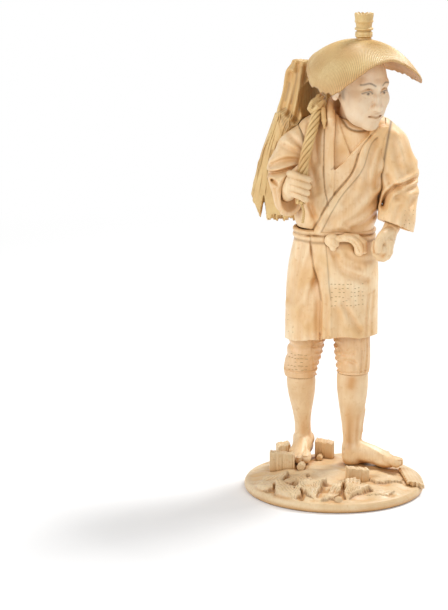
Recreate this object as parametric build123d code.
"""Sectional okimono: a standing countryman in a short robe, carrying a straw cape on a rope.

The carving is built from separately carved pieces that are dowelled together, as such
figures are: ground, legs, trousers, lower and upper robe, sleeves, hands, head and hat.
Millimetres, +Z up, the viewer stands at -Y, origin at the centre of the base's underside.
"""

import os
from math import cos, radians, sin, sqrt, tan

from build123d import *

# Ground
BASE_DIAMETER = 100.0
RIM_HEIGHT = 5.2
RIM_BULGE = 1.2
DOME_RISE = 5.3
RELIEF_HEIGHT = 1.6
RELIEF_CHIPS = [(-33.0, -22.0, 30.0, 9.0, 4.5), (-9.0, -36.0, 5.0, 8.0, 4.5), (10.0, -38.0, -20.0, 8.0, 5.0)]

# Wood lying on the ground: place seen from above, then width, depth and height
LEFT_LOG_PLACE = (-28.0, 4.0)
LEFT_LOG_SIZE = (17.0, 6.0, 10.0)
REAR_LEFT_LOG_INSET = 9.7
REAR_LEFT_LOG_BEARING = 136.0
REAR_LEFT_LOG_SIZE = (8.0, 9.0, 10.0)
REAR_RIGHT_LOG_PLACE = (-5.5, 29.0)
REAR_RIGHT_LOG_SIZE = (11.0, 8.0, 10.0)
FRONT_CHIP_PLACE = (13.0, -16.0)
FRONT_CHIP_SIZE = (13.0, 6.0, 9.0)
BARK_INSET = 6.8
BARK_BEARING = -5.0
BARK_LENGTH = 24.0
BARK_WIDTH = 10.0
BARK_THICKNESS = 3.0
BARK_TILT = 12.0
BARK_TURN = 10.0
LARGE_TWIG_PLACE = (-18.4, -2.0)
LARGE_TWIG_RADIUS = 2.45
SMALL_TWIG_PLACE = (-8.5, 19.0)
SMALL_TWIG_RADIUS = 1.7
TWIG_LENGTH = 6.0

# Heights of the figure's sections above the ground
LEFT_LEG_HEIGHT = 53.5
RIGHT_LEG_HEIGHT = 48.0
HEM_HEIGHT = 73.0
SKIRT_LENGTH = 57.0
BELT_HEIGHT = 6.0
TORSO_HEIGHT = 64.0

# Stance: where each leg stands and meets its trouser leg, seen from above
FIGURE_Y = 12.0
LEFT_ANKLE = (10.6, 12.0)
LEFT_KNEE = (9.8, 10.5)
RIGHT_ANKLE = (-17.6, 30.0)
RIGHT_KNEE = (-19.2, 23.5)
LEFT_FOOT_HEADING = 80.0
RIGHT_FOOT_HEADING = -8.0
FOOT_LENGTH = 34.0
FOOT_WIDTH = 13.4
LEFT_HEEL = 5.6
RIGHT_HEEL = 10.2
ANKLE_HEIGHT = 14.0
KNEE_WIDTH = 16.0
KNEE_DEPTH = 16.0
ANKLE_WIDTH = 8.4
RIGHT_FOOT_SINK = 0.6

# Clothing
TROUSER_CUFF = 1.3
TROUSER_TOP_WIDTH = 21.0
LEFT_HIP = (8.8, 11.5)
RIGHT_HIP = (-14.5, 15.5)
HEM_WIDTH = 51.0
HEM_DEPTH = 45.0
HEM_X = -2.8
HEM_Y = 14.5
HEM_WALL = 2.2
HEM_TILT = 2.5
HEM_PITCH = 6.0
RECESS_DEPTH = 5.0
HIP_WIDTH = 49.0
HIP_DEPTH = 37.0
WAIST_WIDTH = 41.0
WAIST_DEPTH = 31.0
WAIST_X = -1.2
BELT_PROUD = 1.4
CHEST_WIDTH = 50.0
CHEST_DEPTH = 34.0
CHEST_X = 2.8
COLLAR_X = 5.5
COLLAR_HEIGHT = 4.0
COLLAR_WALL = 2.2
LAYER = 0.8
BAND_LAYER = 0.7
CHEST_INSERT = 2.0
INSERT_DROP = 5.0  # from the collar's rim down to the edge of the under robe
NECK_DEPTH = 30.0
LAPEL_OFFSET = 7.0
LAPEL_WIDTH = 5.4
LAPEL_TUCK = 1.0  # how far the lapel's foot runs under the upper front

# Arms
LEFT_ARMHOLE = (26.0, 185.0)
RIGHT_ARMHOLE = (-20.0, 190.0)
SLEEVE_WALL = 2.0
SEAM_OVERLAP = 1.0
LEFT_MOUTH_SIZE = (8.5, 9.8)
RIGHT_MOUTH_SIZE = (7.2, 12.5)
MOUTH_DEPTH = 5.0
LEFT_FIST = (23.0, -9.5, 139.5)
RIGHT_FIST = (-20.5, -11.0, 172.5)
LEFT_WRIST_SIDE = 0.0
RIGHT_WRIST_SIDE = 3.5
WRIST_RADIUS = 4.0
WRIST_LENGTH = 15.0
FIST_WIDTH = 12.5
FIST_DEPTH = 12.0
FIST_HEIGHT = 16.0
FINGER_RADIUS = 2.0
GRIP_RADIUS = 2.3

# Head and hat
HEAD_TURN = 38.0
HEAD_NOD = 10.0
HEAD_X = 11.5
HEAD_Y = 1.5
HEAD_HEIGHT = 42.0
HEAD_WIDTH = 29.0
HEAD_DEPTH = 35.0
NECK_RADIUS = 7.2
NECK_RISE = 14.5
NECK_GAP = 1.2
NECK_TENON = 12.0
HAT_X = 13.5
HAT_Y = 4.0
HAT_TURN = 32.0
HAT_RIGHT_REACH = 31.0
HAT_RIGHT_DROOP = 27.0
HAT_LEFT_REACH = 30.0
HAT_LEFT_DROOP = 22.5
HAT_LENGTH = 60.0
HAT_CORNER = 16.0
HAT_RIDGE_RADIUS = 52.0
HAT_WALL = 2.0
HAT_SWEEP = 50.0
HAT_BOSS_RADIUS = 6.0
HAT_BOSS_HEIGHT = 2.8
CROWN_FLAT = 0.8
EAR_THICKNESS = 1.6
EAR_WIDTH = 7.2
EAR_HEIGHT = 11.2
KNOT_HEIGHT = 14.5
KNOT_RADIUS = 5.0

# Cape and rope
CAPE_DROP = 84.0
CAPE_WALL = 8.0
CAPE_NECK_WIDTH = 22.0
CAPE_NECK_X = -15.0
CAPE_HEM_WIDTH = 50.0
CAPE_HEM_X = -23.0
CAPE_TURN = -14.0
CAPE_RISE = 25.0
CAPE_PEG_X = -10.0
CAPE_PEG_Y = 28.0
CAPE_NOTCHES = 7
CAPE_NOTCH_DEPTH = 6.0
ROPE_DIAMETER = 5.0
TAIL_DIAMETER = 1.2
CORD_RADIUS = 1.2
ARC_SHARE = 0.45
ROPE_KNOT_SHARE = 0.78
ROPE_KNOT_WALLS = (1.6, 2.7, 2.1)
ROPE_KNOT_TAIL = 13.0
BOW_X = -1.9
BOW_Y = -6.5
BOW_DROP = 4.0
BOW_KNOT_SIZE = (8.0, 5.6, 7.0)
BOW_LOOP_RADIUS = 3.2
BOW_LOOP_STRETCH = 2.2

# Joinery
TENON_DEPTH = 4.0
TENON_SHOULDER = 1.6
DOWEL_RADIUS = 1.5
DOWEL_LENGTH = 12.0
SMALL_PEG_RADIUS = 0.9
SMALL_PEG_LENGTH = 6.0
HAT_DOWEL_LENGTH = 18.0
FIT_CLEARANCE = 0.05

# Heights above the table, worked out from the sizes above
GROUND_Z = RIM_HEIGHT + DOME_RISE
LEFT_KNEE_Z = GROUND_Z + LEFT_LEG_HEIGHT
RIGHT_KNEE_Z = GROUND_Z + RIGHT_LEG_HEIGHT
HEM_Z = GROUND_Z + HEM_HEIGHT
CEILING_Z = HEM_Z + RECESS_DEPTH
BELT_Z = HEM_Z + SKIRT_LENGTH
WAIST_Z = BELT_Z + BELT_HEIGHT
SHOULDER_Z = WAIST_Z + TORSO_HEIGHT
HEAD_Z = SHOULDER_Z + NECK_RISE
CROWN_Z = HEAD_Z + HEAD_HEIGHT / 2 - CROWN_FLAT
HAT_TOP_Z = CROWN_Z + HAT_BOSS_HEIGHT + HAT_WALL
CAPE_TOP_Z = SHOULDER_Z + CAPE_RISE
CAPE_PEG_LEVELS = (SHOULDER_Z - 40.0, SHOULDER_Z - 20.0)
NECK_Y = FIGURE_Y + 1.0
NECK_TOP_Z = SHOULDER_Z + COLLAR_HEIGHT + 2.0
NECK_POINT_Z = SHOULDER_Z - NECK_DEPTH
BOW_PLACE = (BOW_X, BOW_Y, WAIST_Z - BOW_DROP)

FOOT_RADIUS = BASE_DIAMETER / 2 - RIM_BULGE
DOME_RADIUS = (FOOT_RADIUS**2 + DOME_RISE**2) / (2 * DOME_RISE)
KNEE_SIZE = (KNEE_WIDTH / 2, KNEE_DEPTH / 2)


def near_rim(inset, bearing):
    """A place on the ground, seen from above, at a distance inside the rim."""
    reach = BASE_DIAMETER / 2 - inset
    return reach * cos(radians(bearing)), reach * sin(radians(bearing))


REAR_LEFT_LOG_PLACE = near_rim(REAR_LEFT_LOG_INSET, REAR_LEFT_LOG_BEARING)
BARK_PLACE = near_rim(BARK_INSET, BARK_BEARING)


def ground_height(x, y):
    """Height of the domed ground above the table at a place seen from above."""
    return GROUND_Z - DOME_RADIUS + sqrt(DOME_RADIUS**2 - x**2 - y**2)


def oval(x, y, z, half_width, half_depth):
    """One horizontal elliptical section of a lofted form."""
    return Pos(x, y, z) * Ellipse(half_width, half_depth)


def ellipsoid(centre, radii, turn=(0, 0, 0)):
    return Pos(*centre) * Rot(*turn) * scale(Sphere(1), by=radii)


def capsule(start, end, radius):
    """A round-ended rod between two points."""
    axis = Vector(*end) - Vector(*start)
    rod = Plane(origin=start, z_dir=axis) * Cylinder(
        radius, axis.length, align=(Align.CENTER, Align.CENTER, Align.MIN)
    )
    return rod + Pos(*start) * Sphere(radius) + Pos(*end) * Sphere(radius)


def dowel(centre, axis, radius=DOWEL_RADIUS, length=DOWEL_LENGTH):
    """A plain round dowel centred on a joint, along its axis."""
    return Plane(origin=centre, z_dir=axis) * Cylinder(radius, length)


def dowel_hole(centre, axis, radius=DOWEL_RADIUS, length=DOWEL_LENGTH):
    return dowel(centre, axis, radius + FIT_CLEARANCE, length + 2 * FIT_CLEARANCE)


def front_prism(points, reach=60.0):
    """A prism over an outline drawn on the front of the figure, from its middle forward."""
    outline = Plane.XZ * make_face(Polyline(*points, close=True))
    return Pos(0, FIGURE_Y, 0) * extrude(outline, reach)


# Ground
def make_base():
    radius = BASE_DIAMETER / 2
    rim = ThreePointArc((FOOT_RADIUS, 0), (radius, RIM_HEIGHT / 2), (FOOT_RADIUS, RIM_HEIGHT))
    inside = Polyline((FOOT_RADIUS, RIM_HEIGHT), (0, RIM_HEIGHT), (0, 0), (FOOT_RADIUS, 0))
    disc = revolve(Plane.XZ * make_face([*rim.edges(), *inside.edges()]), Axis.Z)
    dome = Pos(0, 0, GROUND_Z - DOME_RADIUS) * Sphere(DOME_RADIUS)
    above_rim = Pos(0, 0, RIM_HEIGHT) * Cylinder(
        BASE_DIAMETER, BASE_DIAMETER, align=(Align.CENTER, Align.CENTER, Align.MIN)
    )
    base = disc + (dome & above_rim)
    for x, y, turn, half_length, half_width in RELIEF_CHIPS:
        place = (x, y, ground_height(x, y))
        base += ellipsoid(place, (half_length, half_width, RELIEF_HEIGHT), (0, 0, turn))
    return base


def make_billet(place, size, turn=0.0, lean=0.0):
    """A split billet standing on the ground, with a sloping top; its foot is cut to the dome."""
    width, depth, height = size
    ground = ground_height(*place)
    section = Pos(*place, RIM_HEIGHT) * Rot(0, 0, turn) * RectangleRounded(width, depth, depth * 0.3)
    block = extrude(section, ground - RIM_HEIGHT + height + depth)
    top = Pos(*place, ground + height) * Rot(0, lean, turn)
    block -= top * Box(200, 200, 60, align=(Align.CENTER, Align.CENTER, Align.MIN))
    return block


def make_bark():
    """A curved slab of bark lying across the edge of the ground."""
    x, y = BARK_PLACE
    slab = Pos(x, y, ground_height(x, y)) * Rot(0, BARK_TILT, BARK_TURN) * Box(
        BARK_WIDTH, BARK_LENGTH, BARK_THICKNESS * 2
    )
    return fillet(slab.edges().filter_by(Axis.Y, tolerance=60), BARK_THICKNESS * 0.6)


def make_twig(place, radius):
    """A short round twig lying end-on to the viewer."""
    x, y = place
    z = ground_height(x, y) + radius * 0.7
    return Plane(origin=(x, y, z), z_dir=(0.1, 1, 0)) * Cylinder(
        radius, TWIG_LENGTH, align=(Align.CENTER, Align.CENTER, Align.MIN)
    )


# Legs and feet
def make_foot(ankle, sole_z, heading, heel):
    """A bare foot along -Y, its heel that far behind the ankle, turned to its heading."""
    half = FOOT_WIDTH / 2
    stations = [
        (0.00, 0.40, 0.35),
        (0.10, 0.66, 0.72),
        (0.28, 0.74, 1.00),
        (0.50, 0.84, 0.72),
        (0.72, 1.00, 0.44),
        (0.88, 0.92, 0.32),
    ]
    sections = []
    for along, width_share, height_share in stations:
        height = ANKLE_HEIGHT * height_share
        place = Plane(
            origin=(0, heel - along * FOOT_LENGTH, sole_z + height * 0.3),
            x_dir=(1, 0, 0),
            z_dir=(0, -1, 0),
        )
        sections.append(place * Ellipse(half * width_share, height * 0.7))
    foot = loft(sections)
    toe_radii = [0.14, 0.11, 0.105, 0.10, 0.095]
    toe_reach = [1.00, 0.99, 0.97, 0.94, 0.90]
    big_toe_side = 1 if heading < 0 else -1
    across = half * 0.85
    for radius_share, reach in zip(toe_radii, toe_reach):
        radius = FOOT_WIDTH * radius_share
        across -= radius
        tip = (big_toe_side * across, heel - reach * FOOT_LENGTH + radius, sole_z + radius)
        root = (big_toe_side * across * 0.9, heel - 0.74 * FOOT_LENGTH, sole_z + radius * 1.3)
        foot += capsule(root, tip, radius)
        across -= radius * 0.75
    return Pos(*ankle) * Rot(0, 0, heading) * foot


def make_leg(ankle, sole_z, knee, knee_z, foot, stations):
    """Shin and ankle on a foot, with an oval tenon at the top."""
    ankle_z = sole_z + ANKLE_HEIGHT * 0.5
    sections = []
    for share, half_width, half_depth in stations:
        x = ankle[0] + (knee[0] - ankle[0]) * share
        y = ankle[1] + (knee[1] - ankle[1]) * share
        z = ankle_z + (knee_z - ankle_z) * share
        sections.append(oval(x, y, z, half_width, half_depth))
    sections.append(oval(*knee, knee_z, *KNEE_SIZE))
    return loft(sections) + knee_tenon(knee, knee_z) + foot


def knee_tenon(knee, knee_z, slack=0.0):
    """The oval tenon on top of a leg, or with slack its socket."""
    size = [half - TENON_SHOULDER + slack for half in KNEE_SIZE]
    return extrude(oval(*knee, knee_z, *size), TENON_DEPTH + slack)


def make_left_leg():
    half = ANKLE_WIDTH / 2
    stations = [(0.0, half * 1.25, half), (0.38, half * 1.25, half), (0.62, 6.3, 6.0), (0.84, 7.8, 7.6)]
    sole_z = ground_height(*LEFT_ANKLE)
    foot = make_foot(LEFT_ANKLE, sole_z, LEFT_FOOT_HEADING, LEFT_HEEL)
    leg = make_leg(LEFT_ANKLE, sole_z, LEFT_KNEE, LEFT_KNEE_Z, foot, stations)
    below = Pos(0, 0, sole_z) * Box(200, 200, 40, align=(Align.CENTER, Align.CENTER, Align.MAX))
    return leg - below


def make_right_leg():
    half = ANKLE_WIDTH / 2
    stations = [
        (0.0, half * 1.2, half * 1.2),
        (0.30, half * 0.9, half),
        (0.5, half * 1.05, half * 1.1),
        (0.78, half * 1.6, half * 1.65),
    ]
    sole_z = GROUND_Z - RIGHT_FOOT_SINK
    foot = make_foot(RIGHT_ANKLE, sole_z, RIGHT_FOOT_HEADING, RIGHT_HEEL)
    return make_leg(RIGHT_ANKLE, sole_z, RIGHT_KNEE, RIGHT_KNEE_Z, foot, stations)


# Trousers
def make_trouser(knee, knee_z, top):
    """A short trouser leg from its cuff up to the ceiling of the robe's hem recess."""
    half_width = KNEE_SIZE[0] + TROUSER_CUFF
    half_depth = KNEE_SIZE[1] + TROUSER_CUFF
    top_half = TROUSER_TOP_WIDTH / 2
    middle = [(a + b) / 2 for a, b in zip(knee, top)]
    middle_z = (knee_z + CEILING_Z) / 2
    leg = loft(
        [
            oval(*knee, knee_z, half_width, half_depth),
            oval(*middle, middle_z, (half_width + top_half) / 2 + 0.6, (half_depth + top_half) / 2 + 0.6),
            oval(*top, CEILING_Z, top_half, top_half),
        ]
    )
    return leg - knee_tenon(knee, knee_z, FIT_CLEARANCE)


# Robe
def skirt_loft(grow):
    """The lower robe's form below the belt, grown outwards by a thickness."""
    low = HEM_Z - HEM_WIDTH * 0.1
    thigh_z = HEM_Z + SKIRT_LENGTH * 0.35
    hip_z = HEM_Z + SKIRT_LENGTH * 0.75
    return loft(
        [
            oval(HEM_X, HEM_Y, low, HEM_WIDTH / 2 + grow, HEM_DEPTH / 2 + grow),
            oval(HEM_X, HEM_Y, thigh_z, HEM_WIDTH / 2 - 0.3 + grow, HEM_DEPTH / 2 - 0.8 + grow),
            oval(WAIST_X - 0.8, FIGURE_Y + 0.5, hip_z, HIP_WIDTH / 2 + grow, HIP_DEPTH / 2 + grow),
            oval(WAIST_X, FIGURE_Y, BELT_Z, WAIST_WIDTH / 2 + 1.5 + grow, WAIST_DEPTH / 2 + 1.5 + grow),
        ]
    )


def make_lower_robe():
    """Skirt with its overlapping front panel and edge band, hem recess and double cord belt."""
    panel_edge = [(WAIST_X - 11, BELT_Z), (WAIST_X - 9, HEM_Z + 26), (WAIST_X - 5, HEM_Z - 10)]
    band_edge = [(WAIST_X - 4, HEM_Z - 10), (WAIST_X - 2, HEM_Z + 26), (WAIST_X - 4, BELT_Z)]
    far = HEM_X + HEM_WIDTH
    panel = front_prism([*panel_edge, (far, HEM_Z - 10), (far, BELT_Z)])
    band = front_prism([*panel_edge, *band_edge])
    skirt = skirt_loft(0) + (skirt_loft(LAYER) & panel) + (skirt_loft(LAYER + BAND_LAYER) & band)
    hem_plane = Pos(HEM_X, HEM_Y, HEM_Z) * Rot(-HEM_PITCH, -HEM_TILT, 0)
    skirt -= hem_plane * Box(200, 200, 60, align=(Align.CENTER, Align.CENTER, Align.MAX))
    below_ceiling = Pos(0, 0, CEILING_Z) * Box(200, 200, 60, align=(Align.CENTER, Align.CENTER, Align.MAX))
    skirt -= skirt_loft(-HEM_WALL) & below_ceiling
    cord_height = BELT_HEIGHT / 2
    for row in range(2):
        cord = extrude(
            oval(
                WAIST_X,
                FIGURE_Y,
                BELT_Z + row * cord_height,
                WAIST_WIDTH / 2 + BELT_PROUD,
                WAIST_DEPTH / 2 + BELT_PROUD,
            ),
            cord_height,
        )
        skirt += fillet(cord.edges(), cord_height * 0.42)
    return skirt


def torso_loft(grow):
    """The upper robe's form, grown outwards by a thickness."""
    stations = [
        (0.00, WAIST_X, 0.0, WAIST_WIDTH / 2, WAIST_DEPTH / 2),
        (0.10, WAIST_X, 0.0, WAIST_WIDTH / 2 + 2.0, WAIST_DEPTH / 2 + 2.0),
        (0.35, (WAIST_X + CHEST_X) / 2, 0.0, CHEST_WIDTH / 2 - 1.5, CHEST_DEPTH / 2),
        (0.65, CHEST_X, 0.0, CHEST_WIDTH / 2 + 0.5, CHEST_DEPTH / 2),
        (0.86, CHEST_X + 1, 0.6, CHEST_WIDTH / 2 + 0.5, CHEST_DEPTH / 2 - 2.2),
        (0.95, CHEST_X + 2, 1.0, CHEST_WIDTH / 2 - 5.0, CHEST_DEPTH / 2 - 5.5),
        (1.00, COLLAR_X, 1.0, 11.0, 9.0),
    ]
    return loft(
        [
            oval(x, FIGURE_Y + back, WAIST_Z + TORSO_HEIGHT * share, half_width + grow, half_depth + grow)
            for share, x, back, half_width, half_depth in stations
        ]
    )


LEFT_ARM_PLANE = Plane(
    origin=(LEFT_ARMHOLE[0], FIGURE_Y, LEFT_ARMHOLE[1]), x_dir=(0, 1, 0), z_dir=(0.987, 0, -0.161)
)
RIGHT_ARM_PLANE = Plane(
    origin=(RIGHT_ARMHOLE[0], FIGURE_Y, RIGHT_ARMHOLE[1]), x_dir=(0, -1, 0), z_dir=(-0.99, 0, 0.10)
)


def neck_line():
    """The V of the robe's neck, drawn on the front: shoulder, point, lapel, shoulder."""
    x, z = COLLAR_X - LAPEL_OFFSET, NECK_POINT_Z
    return [(x, NECK_TOP_Z), (x, z), (x + 13, z + 11), (x + 20, NECK_TOP_Z)]


def overlap_line(inset=0.0):
    """The edge of the upper front, from the left shoulder across to the belt, or a line beside it."""
    x, z = COLLAR_X - LAPEL_OFFSET, NECK_POINT_Z
    line = [(x + 23, NECK_TOP_Z), (x + 14.5, z + 11), (x + 10, z - 2), (x, z - 14), (WAIST_X - 11, WAIST_Z)]
    return [(point_x + inset, point_z) for point_x, point_z in line]


def make_upper_robe():
    far = CHEST_X + CHEST_WIDTH
    panel = front_prism([*overlap_line(), (far, WAIST_Z), (far, NECK_TOP_Z)])
    band = front_prism([*overlap_line(), *reversed(overlap_line(LAPEL_WIDTH))])
    neck_edge, neck_point = neck_line()[:2]
    tucked = overlap_line(LAPEL_TUCK)[3]
    foot = (tucked[0] - LAPEL_WIDTH / 2, tucked[1] - LAPEL_WIDTH)
    outer = neck_edge[0] - LAPEL_WIDTH
    lapel = front_prism(
        [neck_edge, neck_point, tucked, foot, (outer, neck_point[1] - LAPEL_WIDTH), (outer, NECK_TOP_Z)]
    )
    robe = torso_loft(0)
    robe += torso_loft(LAYER) & panel
    robe += torso_loft(LAYER + BAND_LAYER) & band
    robe += torso_loft(BAND_LAYER) & lapel
    for plane in (LEFT_ARM_PLANE, RIGHT_ARM_PLANE):
        robe -= plane * Box(200, 200, 60, align=(Align.CENTER, Align.CENTER, Align.MIN))
    robe -= front_prism(neck_line()) - torso_loft(-CHEST_INSERT)
    collar_radius = NECK_RADIUS + NECK_GAP
    ring = Pos(COLLAR_X, NECK_Y, SHOULDER_Z - COLLAR_HEIGHT) * Cylinder(
        collar_radius + COLLAR_WALL,
        COLLAR_HEIGHT * 2,
        align=(Align.CENTER, Align.CENTER, Align.MIN),
    )
    robe += ring - front_prism(neck_line())
    return robe - neck_well(FIT_CLEARANCE) - skull_form(NECK_GAP / 2)


def neck_well(slack):
    """The round seat for the neck's tenon, with a wider mouth inside the collar."""
    seat = Pos(COLLAR_X, NECK_Y, SHOULDER_Z - NECK_TENON) * Cylinder(
        NECK_RADIUS + slack, 60, align=(Align.CENTER, Align.CENTER, Align.MIN)
    )
    mouth = Pos(COLLAR_X, NECK_Y, SHOULDER_Z - COLLAR_HEIGHT) * Cylinder(
        NECK_RADIUS + NECK_GAP, 60, align=(Align.CENTER, Align.CENTER, Align.MIN)
    )
    return seat + mouth


def make_chest_insert():
    """The under robe that shows in the neck opening."""
    layer = torso_loft(-LAYER) - torso_loft(-CHEST_INSERT)
    above = Pos(COLLAR_X, NECK_Y, SHOULDER_Z - INSERT_DROP) * Cylinder(
        CHEST_WIDTH, NECK_TENON, align=(Align.CENTER, Align.CENTER, Align.MIN)
    )
    insert = layer & front_prism(neck_line())
    return insert - above - neck_well(FIT_CLEARANCE) - skull_form(NECK_GAP / 2)


# Arms
def arm_section(centre, direction, x_dir, half_x, half_y):
    return Plane(origin=centre, x_dir=x_dir, z_dir=direction) * Ellipse(half_x, half_y)


def up_cross(direction):
    """The level direction across an arm that points along a direction."""
    return Vector(0, 0, 1).cross(Vector(*direction))


def sleeve_mouth(plane, size):
    """The hollow of a sleeve's mouth, sunk from the mouth's plane into the sleeve."""
    hollow = Ellipse(size[0] - SLEEVE_WALL, size[1] - SLEEVE_WALL)
    return extrude(plane * hollow, -MOUTH_DEPTH)


LEFT_MOUTH = Plane(
    origin=(LEFT_ARMHOLE[0] + 6.0, FIGURE_Y - 14.0, LEFT_ARMHOLE[1] - 36.0),
    x_dir=(0, 1, 0),
    z_dir=(-0.22, -0.35, -0.91),
)
RIGHT_MOUTH = Plane(
    origin=(RIGHT_ARMHOLE[0] - 5.0, FIGURE_Y - 17.0, RIGHT_ARMHOLE[1] - 25.0),
    x_dir=(0.886, 0.464, 0),
    z_dir=(0.45, -0.86, -0.22),
)


def trim_to_seam(sleeve, plane):
    """Cut a sleeve flat where it meets the robe at the armhole."""
    return sleeve - plane * Box(200, 200, 60, align=(Align.CENTER, Align.CENTER, Align.MAX))


def make_left_sleeve():
    x, z = LEFT_ARMHOLE
    depth = (0, 1, 0)
    sleeve = loft(
        [
            LEFT_ARM_PLANE.offset(-SEAM_OVERLAP) * Ellipse(12.5, 20.0),
            arm_section((x + 8.5, FIGURE_Y - 2, z - 7), (0.62, -0.15, -0.77), depth, 11.5, 14.0),
            arm_section((x + 9.5, FIGURE_Y - 8, z - 20), (0.1, -0.35, -0.93), depth, 10.5, 9.0),
            LEFT_MOUTH * Ellipse(*LEFT_MOUTH_SIZE),
        ]
    )
    return trim_to_seam(sleeve, LEFT_ARM_PLANE) - sleeve_mouth(LEFT_MOUTH, LEFT_MOUTH_SIZE)


def make_right_sleeve():
    x, z = RIGHT_ARMHOLE
    shoulder = (-0.65, -0.3, -0.70)
    elbow = (0.0, -0.85, -0.52)
    sleeve = loft(
        [
            RIGHT_ARM_PLANE.offset(-SEAM_OVERLAP) * Ellipse(11.5, 14.5),
            arm_section((x - 8, FIGURE_Y - 2, z - 8), shoulder, up_cross(shoulder), 10.5, 13.0),
            arm_section((x - 9, FIGURE_Y - 9, z - 19), elbow, up_cross(elbow), 8.5, 12.5),
            RIGHT_MOUTH * Ellipse(*RIGHT_MOUTH_SIZE),
        ]
    )
    return trim_to_seam(sleeve, RIGHT_ARM_PLANE) - sleeve_mouth(RIGHT_MOUTH, RIGHT_MOUTH_SIZE)


def wrist(plane, side, radius):
    """A forearm from the floor of a sleeve's mouth, offset across it, out to the hand."""
    floor = plane.offset(-MOUTH_DEPTH)
    return floor * Pos(0, side, 0) * Cylinder(
        radius, WRIST_LENGTH, align=(Align.CENTER, Align.CENTER, Align.MIN)
    )


def make_left_hand():
    """A fist that once held a haft, its grip running from front to back."""
    x, y, z = LEFT_FIST
    hand = wrist(LEFT_MOUTH, LEFT_WRIST_SIDE, WRIST_RADIUS)
    hand += ellipsoid((x + 1.5, y + 1, z + 3), (FIST_WIDTH * 0.42, FIST_DEPTH * 0.5, FIST_HEIGHT * 0.4))
    for finger in range(4):
        knuckle = Pos(x, y - FIST_DEPTH * 0.42 + finger * FINGER_RADIUS * 1.7, z - 1.5)
        hand += knuckle * Rot(90, 0, 0) * Torus(GRIP_RADIUS + FINGER_RADIUS * 0.85, FINGER_RADIUS)
    grip = Pos(x, y, z - 1.5) * Rot(90, 0, 0) * Cylinder(GRIP_RADIUS, FIST_DEPTH * 3)
    return hand - grip


def make_right_hand(rope):
    """A fist closed round the rope, four fingers stacked across it."""
    x, y, z = RIGHT_FIST
    hand = wrist(RIGHT_MOUTH, RIGHT_WRIST_SIDE, WRIST_RADIUS)
    hand += ellipsoid((x - 1, y + 2, z), (FIST_WIDTH * 0.45, FIST_DEPTH * 0.45, FIST_HEIGHT * 0.42))
    for finger in range(4):
        level = z + (1.5 - finger) * FINGER_RADIUS * 1.75
        start = (x - FIST_WIDTH * 0.45, y - FIST_DEPTH * 0.25, level)
        end = (x + FIST_WIDTH * 0.42, y - FIST_DEPTH * 0.25, level)
        hand += capsule(start, end, FINGER_RADIUS)
    return hand - rope


# Head and hat
def skull_form(grow=0.0):
    """The head without its neck, turned and nodding, grown outwards by a gap."""
    width, depth, height = HEAD_WIDTH, HEAD_DEPTH, HEAD_HEIGHT
    lumps = [
        ((0, 0, height * 0.08), (width * 0.5, depth * 0.5, height * 0.42)),
        ((0, -depth * 0.2, -height * 0.2), (width * 0.36, depth * 0.28, height * 0.3)),
        ((0, -depth * 0.47, -height * 0.06), (width * 0.08, depth * 0.08, height * 0.1)),
        ((-width * 0.48, depth * 0.06, -height * 0.04), (EAR_THICKNESS, EAR_WIDTH / 2, EAR_HEIGHT / 2)),
        ((width * 0.48, depth * 0.06, -height * 0.04), (EAR_THICKNESS, EAR_WIDTH / 2, EAR_HEIGHT / 2)),
    ]
    skull = Part()
    for centre, radii in lumps:
        skull += ellipsoid(centre, tuple(radius + grow for radius in radii))
    return Pos(HEAD_X, HEAD_Y, HEAD_Z) * Rot(0, 0, HEAD_TURN) * Rot(HEAD_NOD, 0, 0) * skull


def make_head():
    """Shaven head with ears and a neck that ends in a round tenon."""
    collar_top = SHOULDER_Z + COLLAR_HEIGHT
    neck = loft(
        [
            oval(COLLAR_X, NECK_Y, SHOULDER_Z - NECK_TENON, NECK_RADIUS, NECK_RADIUS),
            oval(COLLAR_X, NECK_Y, collar_top, NECK_RADIUS, NECK_RADIUS),
            oval((COLLAR_X + HEAD_X) / 2, (NECK_Y + HEAD_Y) / 2, HEAD_Z + 2, NECK_RADIUS, NECK_RADIUS),
        ],
        ruled=True,
    )
    above_crown = Pos(HEAD_X, HEAD_Y, CROWN_Z) * Box(
        60, 60, 20, align=(Align.CENTER, Align.CENTER, Align.MIN)
    )
    return skull_form() + neck - above_crown


def hat_arch(drop):
    """The arched section of the hat across its ridge, as a closed face down from the apex."""
    right = HAT_RIGHT_REACH - drop * 1.3
    left = HAT_LEFT_REACH - drop * 1.3
    right_wing = TangentArc((0, -drop), (-right, -HAT_RIGHT_DROOP), tangent=(-1, 0))
    left_wing = TangentArc((0, -drop), (left, -HAT_LEFT_DROOP), tangent=(1, 0))
    under = Polyline(
        (-right, -HAT_RIGHT_DROOP), (0, -HAT_RIGHT_DROOP), (0, -HAT_LEFT_DROOP), (left, -HAT_LEFT_DROOP)
    )
    return make_face([*right_wing.edges(), *left_wing.edges(), *under.edges()])


def make_hat():
    """A folded rush hat: an arch swept over a bowed ridge and cut to a mat with round corners."""
    arch = Plane.XZ * (hat_arch(0) - hat_arch(HAT_WALL))
    ridge_axis = Axis((0, 0, -HAT_RIDGE_RADIUS), (1, 0, 0))
    shell = revolve(arch, ridge_axis, HAT_SWEEP) + revolve(arch, ridge_axis, -HAT_SWEEP)
    middle = (HAT_LEFT_REACH - HAT_RIGHT_REACH) / 2
    mat = RectangleRounded(HAT_LEFT_REACH + HAT_RIGHT_REACH, HAT_LENGTH, HAT_CORNER)
    brim = Pos(middle, 0, -50) * extrude(mat, 100)
    boss = Pos(0, 0, -HAT_WALL - HAT_BOSS_HEIGHT) * Cylinder(
        HAT_BOSS_RADIUS, HAT_BOSS_HEIGHT + HAT_WALL / 2, align=(Align.CENTER, Align.CENTER, Align.MIN)
    )
    return Pos(HAT_X, HAT_Y, HAT_TOP_Z) * Rot(0, 0, HAT_TURN) * ((shell & brim) + boss)


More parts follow.
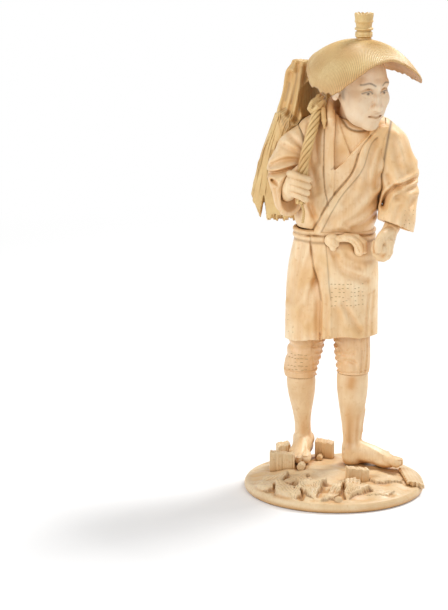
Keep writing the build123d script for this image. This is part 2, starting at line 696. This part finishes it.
def make_hat_knot():
    """The bound tuft on the hat's crown: a barrel with two wound bands."""
    barrel = loft(
        [
            oval(HAT_X, HAT_Y, HAT_TOP_Z - HAT_WALL, KNOT_RADIUS * 0.8, KNOT_RADIUS * 0.8),
            oval(HAT_X, HAT_Y, HAT_TOP_Z + KNOT_HEIGHT * 0.5, KNOT_RADIUS * 0.85, KNOT_RADIUS * 0.85),
            oval(HAT_X, HAT_Y, HAT_TOP_Z + KNOT_HEIGHT, KNOT_RADIUS * 0.65, KNOT_RADIUS * 0.65),
        ]
    )
    for share in (0.25, 0.7):
        band = Pos(HAT_X, HAT_Y, HAT_TOP_Z + KNOT_HEIGHT * share)
        barrel += band * Torus(KNOT_RADIUS * 0.78, KNOT_RADIUS * 0.22)
    return barrel


# Cape and rope
def make_cape():
    """The straw cape slung behind the right shoulder, hollow at the neck and ragged at the hem."""
    stations = [
        (0.00, CAPE_NECK_WIDTH / 2, CAPE_NECK_X, FIGURE_Y + 11, CAPE_WALL * 0.8),
        (0.25, CAPE_NECK_WIDTH * 0.62, CAPE_NECK_X - 2, FIGURE_Y + 13, CAPE_WALL * 1.1),
        (0.55, CAPE_HEM_WIDTH * 0.38, (CAPE_NECK_X + CAPE_HEM_X) / 2 - 2, FIGURE_Y + 15, CAPE_WALL * 1.3),
        (1.00, CAPE_HEM_WIDTH / 2, CAPE_HEM_X, FIGURE_Y + 17, CAPE_WALL * 1.3),
    ]
    cape = loft(
        [
            Pos(x, y, CAPE_TOP_Z - CAPE_DROP * share) * Rot(0, 0, CAPE_TURN) * Ellipse(half_width, half_depth)
            for share, half_width, x, y, half_depth in stations
        ]
    )
    cape -= ellipsoid((CAPE_NECK_X, FIGURE_Y + 8, CAPE_TOP_Z), (CAPE_NECK_WIDTH * 0.3, CAPE_WALL * 0.7, 22))
    pitch = CAPE_HEM_WIDTH / CAPE_NOTCHES
    for notch in range(CAPE_NOTCHES):
        x = CAPE_HEM_X + (notch + 0.5 - CAPE_NOTCHES / 2) * pitch
        depth = CAPE_NOTCH_DEPTH * (1.0 if notch % 2 else 0.6)
        hem = CAPE_TOP_Z - CAPE_DROP
        wedge = Plane.XZ * make_face(
            Polyline((x - pitch * 0.4, hem - 1), (x, hem + depth), (x + pitch * 0.4, hem - 1), close=True)
        )
        cape -= Pos(0, FIGURE_Y, 0) * extrude(wedge, 60, both=True)
    return cape


def soft_path(points):
    """Straight runs through points, joined by the largest arcs that fit the runs."""
    runs = [Vector(*end) - Vector(*start) for start, end in zip(points, points[1:])]
    radii = []
    for before, after in zip(runs, runs[1:]):
        half_turn = radians(before.get_angle(after)) / 2
        radii.append(ARC_SHARE * min(before.length, after.length) / tan(half_turn))
    return FilletPolyline(*points, radius=radii)


def tube(points, radius):
    path = soft_path(points)
    start = Plane(origin=path @ 0, z_dir=path % 0)
    return sweep(start * Circle(radius), path=path)


def rope_points():
    """The rope from the fist over the shoulder into the neck of the cape."""
    x, y, z = RIGHT_FIST
    over_shoulder = RIGHT_ARMHOLE[0] + 9.0
    return [
        (x + 1, y + 0.5, z - FIST_HEIGHT * 0.6),
        (x + 3, y + 7.0, z + 20),
        (over_shoulder - 3, FIGURE_Y - 10, SHOULDER_Z),
        (over_shoulder, FIGURE_Y - 2, SHOULDER_Z + 8),
        (over_shoulder, FIGURE_Y + 8, SHOULDER_Z + 3.5),
    ]


def make_rope_knot():
    """A knot of cloth round the rope at the shoulder, with a pointed tail hanging in front."""
    path = soft_path(rope_points())
    x, y, z = path @ ROPE_KNOT_SHARE
    front = ROPE_DIAMETER / 2
    half_length, half_width, half_depth = [front + wall for wall in ROPE_KNOT_WALLS]
    along = Plane(origin=(x, y, z), z_dir=path % ROPE_KNOT_SHARE)
    knot = along * loft(
        [
            oval(0, 0, -half_length, half_width * 0.7, half_depth * 0.75),
            oval(0, 0, 0, half_width, half_depth),
            oval(0, 0, half_length, half_width * 0.7, half_depth * 0.75),
        ]
    )
    tail = loft(
        [
            oval(x + front, y - front - 0.5, z + 0.5, 2.0, 1.4),
            oval(x + front + 0.5, y - front - 2.5, z - ROPE_KNOT_TAIL * 0.5, 2.2, 1.3),
            oval(x + front + 1, y - front - 3.0, z - ROPE_KNOT_TAIL, 0.5, 0.5),
        ]
    )
    return knot + tail


def make_rope_tail():
    """The thin free end of the rope hanging below the fist."""
    x, y, z = RIGHT_FIST
    bottom = z - FIST_HEIGHT * 0.6
    points = [(x + 1, y, bottom + 0.5), (x + 3, y, bottom - 5), (x + 2, y, bottom - 11)]
    return tube(points, TAIL_DIAMETER / 2)


def make_belt_bow():
    """The belt's bow: a knot, a hanging loop and one short end."""
    x, y, z = BOW_PLACE
    bow = Pos(x, y, z) * fillet(Box(*BOW_KNOT_SIZE).edges(), BOW_KNOT_SIZE[1] * 0.4)
    ring = Rot(90, 0, 0) * Torus(BOW_LOOP_RADIUS, CORD_RADIUS)
    loop = scale(ring, by=(BOW_LOOP_STRETCH, 1, 1))
    bow += Pos(x + BOW_LOOP_RADIUS * BOW_LOOP_STRETCH + 2, y + 0.6, z - 4.4) * Rot(0, 20, 12) * loop
    bow += capsule((x - 1, y + 0.3, z - 1), (x - 5, y + 0.5, z - 9), CORD_RADIUS)
    return bow


PARTS = {}
PEGS = {}


def peg(group, centre, axis, pieces, radius=DOWEL_RADIUS, length=DOWEL_LENGTH):
    """Add a dowel to its group and bore its hole in the pieces that it joins."""
    PEGS.setdefault(group, []).append(dowel(centre, axis, radius, length))
    for piece in pieces:
        PARTS[piece] -= dowel_hole(centre, axis, radius, length)


def small_peg(group, centre, axis, pieces):
    peg(group, centre, axis, pieces, SMALL_PEG_RADIUS, SMALL_PEG_LENGTH)


# Assembly: each piece is cut to seat on the ones made before it
base = make_base()
right_leg = make_right_leg() - base
lower_robe = make_lower_robe()
upper_robe = make_upper_robe()
left_sleeve = make_left_sleeve()
right_sleeve = make_right_sleeve()
rope = tube(rope_points(), ROPE_DIAMETER / 2)
rope_slack = tube(rope_points(), ROPE_DIAMETER / 2 + FIT_CLEARANCE)
left_log = make_billet(LEFT_LOG_PLACE, LEFT_LOG_SIZE, 0, 6) - base - right_leg
hat = make_hat()
cape = make_cape() - upper_robe - right_sleeve - rope_slack

PARTS.update(
    base=base,
    left_leg=make_left_leg() - base,
    right_leg=right_leg,
    left_trouser=make_trouser(LEFT_KNEE, LEFT_KNEE_Z, LEFT_HIP) - lower_robe,
    right_trouser=make_trouser(RIGHT_KNEE, RIGHT_KNEE_Z, RIGHT_HIP) - lower_robe,
    lower_robe=lower_robe,
    belt_bow=make_belt_bow() - lower_robe - upper_robe,
    upper_robe=upper_robe,
    chest_insert=make_chest_insert(),
    left_sleeve=left_sleeve,
    right_sleeve=right_sleeve,
    left_hand=make_left_hand() - left_sleeve,
    right_hand=make_right_hand(rope_slack) - right_sleeve,
    head=make_head(),
    hat=hat,
    hat_knot=make_hat_knot() - hat,
    straw_cape=cape,
    shoulder_rope=rope,
    rope_knot=make_rope_knot() - rope_slack - upper_robe,
    rope_tail=make_rope_tail() - rope,
    left_log=left_log,
    rear_left_log=make_billet(REAR_LEFT_LOG_PLACE, REAR_LEFT_LOG_SIZE, 10, -8) - base - right_leg,
    rear_right_log=make_billet(REAR_RIGHT_LOG_PLACE, REAR_RIGHT_LOG_SIZE, -8, 8) - base - right_leg,
    front_chip=make_billet(FRONT_CHIP_PLACE, FRONT_CHIP_SIZE, 12, 10) - base,
    bark_slab=make_bark() - base,
    large_twig=make_twig(LARGE_TWIG_PLACE, LARGE_TWIG_RADIUS) - base - left_log,
    small_twig=make_twig(SMALL_TWIG_PLACE, SMALL_TWIG_RADIUS) - base,
)

UP = (0, 0, 1)
peg("shoulder_dowels", LEFT_ARM_PLANE.origin, LEFT_ARM_PLANE.z_dir, ["upper_robe", "left_sleeve"])
peg("shoulder_dowels", RIGHT_ARM_PLANE.origin, RIGHT_ARM_PLANE.z_dir, ["upper_robe", "right_sleeve"])
for x in (-WAIST_WIDTH / 4, WAIST_WIDTH / 4):
    peg("waist_dowels", (WAIST_X + x, FIGURE_Y, WAIST_Z), UP, ["lower_robe", "upper_robe"])
peg("hip_dowels", (*LEFT_HIP, CEILING_Z), UP, ["left_trouser", "lower_robe"])
peg("hip_dowels", (*RIGHT_HIP, CEILING_Z), UP, ["right_trouser", "lower_robe"])
peg("foot_dowels", (*LEFT_ANKLE, ground_height(*LEFT_ANKLE)), UP, ["left_leg", "base"])
peg("foot_dowels", (*RIGHT_ANKLE, ground_height(*RIGHT_ANKLE)), UP, ["right_leg", "base"])
hat_joint = (HAT_X, HAT_Y, (CROWN_Z + HAT_TOP_Z) / 2)
peg("hat_dowel", hat_joint, UP, ["head", "hat", "hat_knot"], length=HAT_DOWEL_LENGTH)
for plane, side, hand, sleeve in (
    (LEFT_MOUTH, LEFT_WRIST_SIDE, "left_hand", "left_sleeve"),
    (RIGHT_MOUTH, RIGHT_WRIST_SIDE, "right_hand", "right_sleeve"),
):
    joint = plane.offset(-MOUTH_DEPTH) * Pos(0, side, 0)
    small_peg("wrist_pegs", joint.position, plane.z_dir, [hand, sleeve])
for z in CAPE_PEG_LEVELS:
    small_peg("cape_pegs", (CAPE_PEG_X, CAPE_PEG_Y, z), (0, 1, 0), ["straw_cape", "upper_robe"])
small_peg("bow_peg", (BOW_PLACE[0], BOW_PLACE[1] + 2.5, BOW_PLACE[2]), (0, 1, 0), ["belt_bow", "lower_robe"])
for name, (x, y) in (
    ("left_log", LEFT_LOG_PLACE),
    ("rear_left_log", REAR_LEFT_LOG_PLACE),
    ("rear_right_log", REAR_RIGHT_LOG_PLACE),
    ("front_chip", FRONT_CHIP_PLACE),
):
    small_peg("log_pegs", (x, y, ground_height(x, y)), UP, [name, "base"])

for group, dowels in PEGS.items():
    PARTS[group] = Compound(children=dowels)

os.makedirs("parts", exist_ok=True)
for name, shape in PARTS.items():
    export_step(shape, f"parts/{name}.step")
